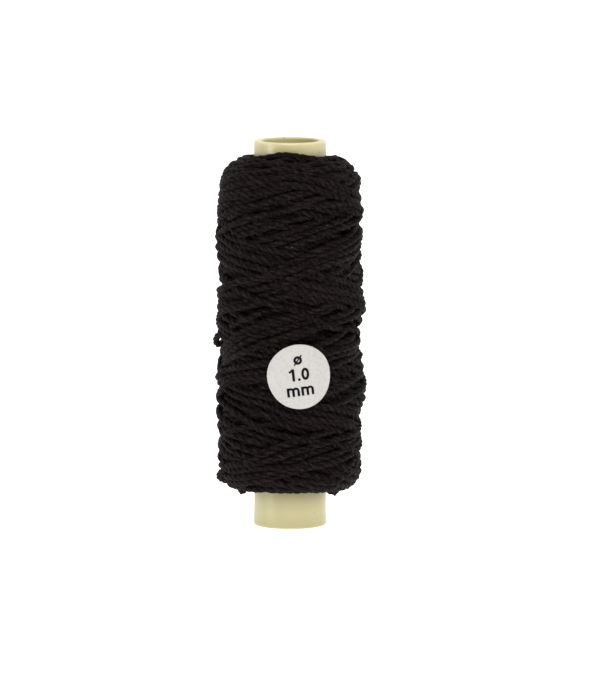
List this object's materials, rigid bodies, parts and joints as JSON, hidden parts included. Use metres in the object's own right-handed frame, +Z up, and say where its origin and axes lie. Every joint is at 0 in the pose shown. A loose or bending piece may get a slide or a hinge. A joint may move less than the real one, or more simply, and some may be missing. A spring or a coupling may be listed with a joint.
{
  "type": "waxed thread spool",
  "caption": "Hollow plastic core tube cross-wound with dark waxed twisted thread, with a round paper size label stuck to its side.",
  "frame": {"origin": "centre of the core tube's lower rim, where the spool stands", "axes": "+Z up the tube's axis; -Y towards the side with the label"},
  "size_m": [0.0224, 0.0225, 0.06],
  "materials": {
    "tube_plastic": "smooth cream plastic, slightly translucent",
    "waxed_thread": "near-black twisted thread with a light coat of wax",
    "label_paper": "matt white paper"
  },
  "bodies": {
    "root": {"core_tube": "tube_plastic", "thread_winding": "waxed_thread", "size_label": "label_paper"}
  },
  "joints": []
}
